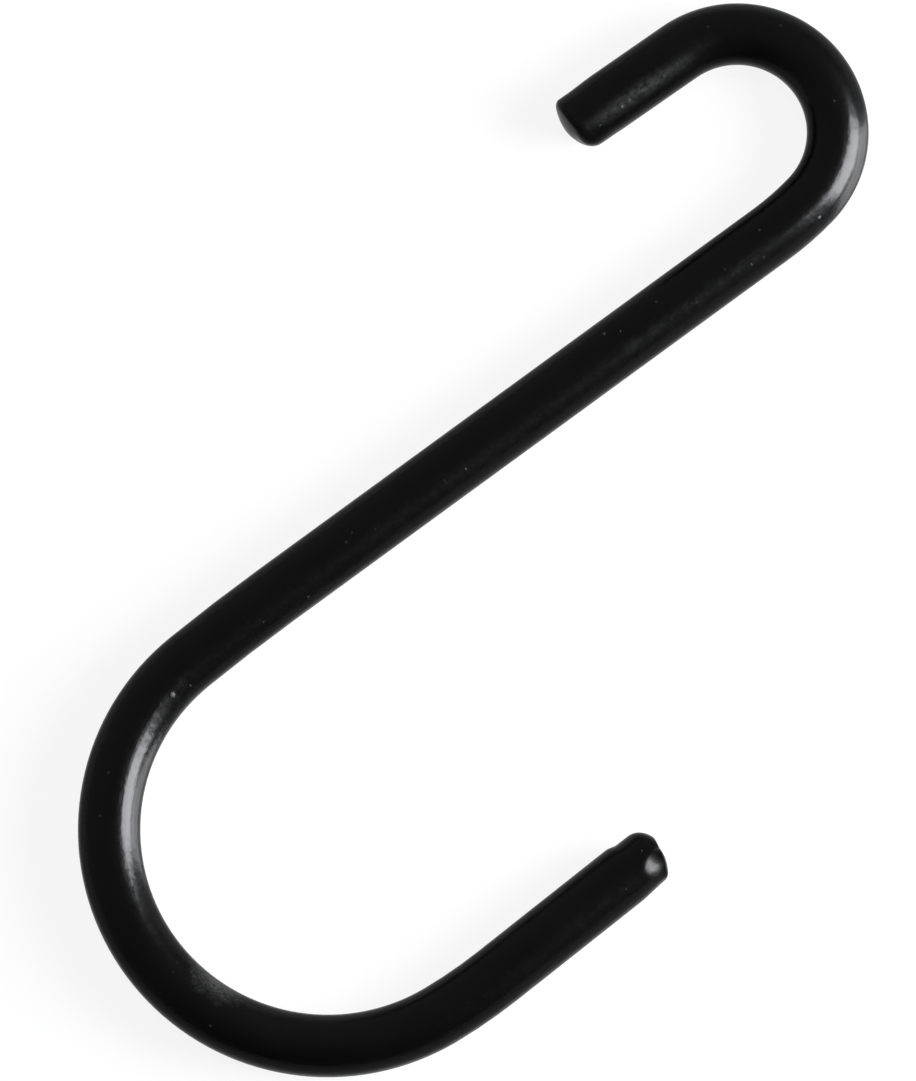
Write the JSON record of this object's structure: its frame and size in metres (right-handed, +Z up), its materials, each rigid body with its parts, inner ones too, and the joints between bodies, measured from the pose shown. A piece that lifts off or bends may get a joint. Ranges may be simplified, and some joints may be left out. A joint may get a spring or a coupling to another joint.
{
  "type": "s hook",
  "caption": "Black coated S hook bent from round steel rod, with a small hook at one end and a wide hook at the other.",
  "frame": {"origin": "middle of the footprint, on the surface the hook lies on", "axes": "+Y along the shank towards the small hook, +X towards the side the wide hook curls to, +Z up, square to the plane of the hook"},
  "size_m": [0.0684, 0.109, 0.006],
  "materials": {
    "coating": "semi-gloss black coating"
  },
  "bodies": {
    "root": {"hook": "coating"}
  },
  "joints": []
}
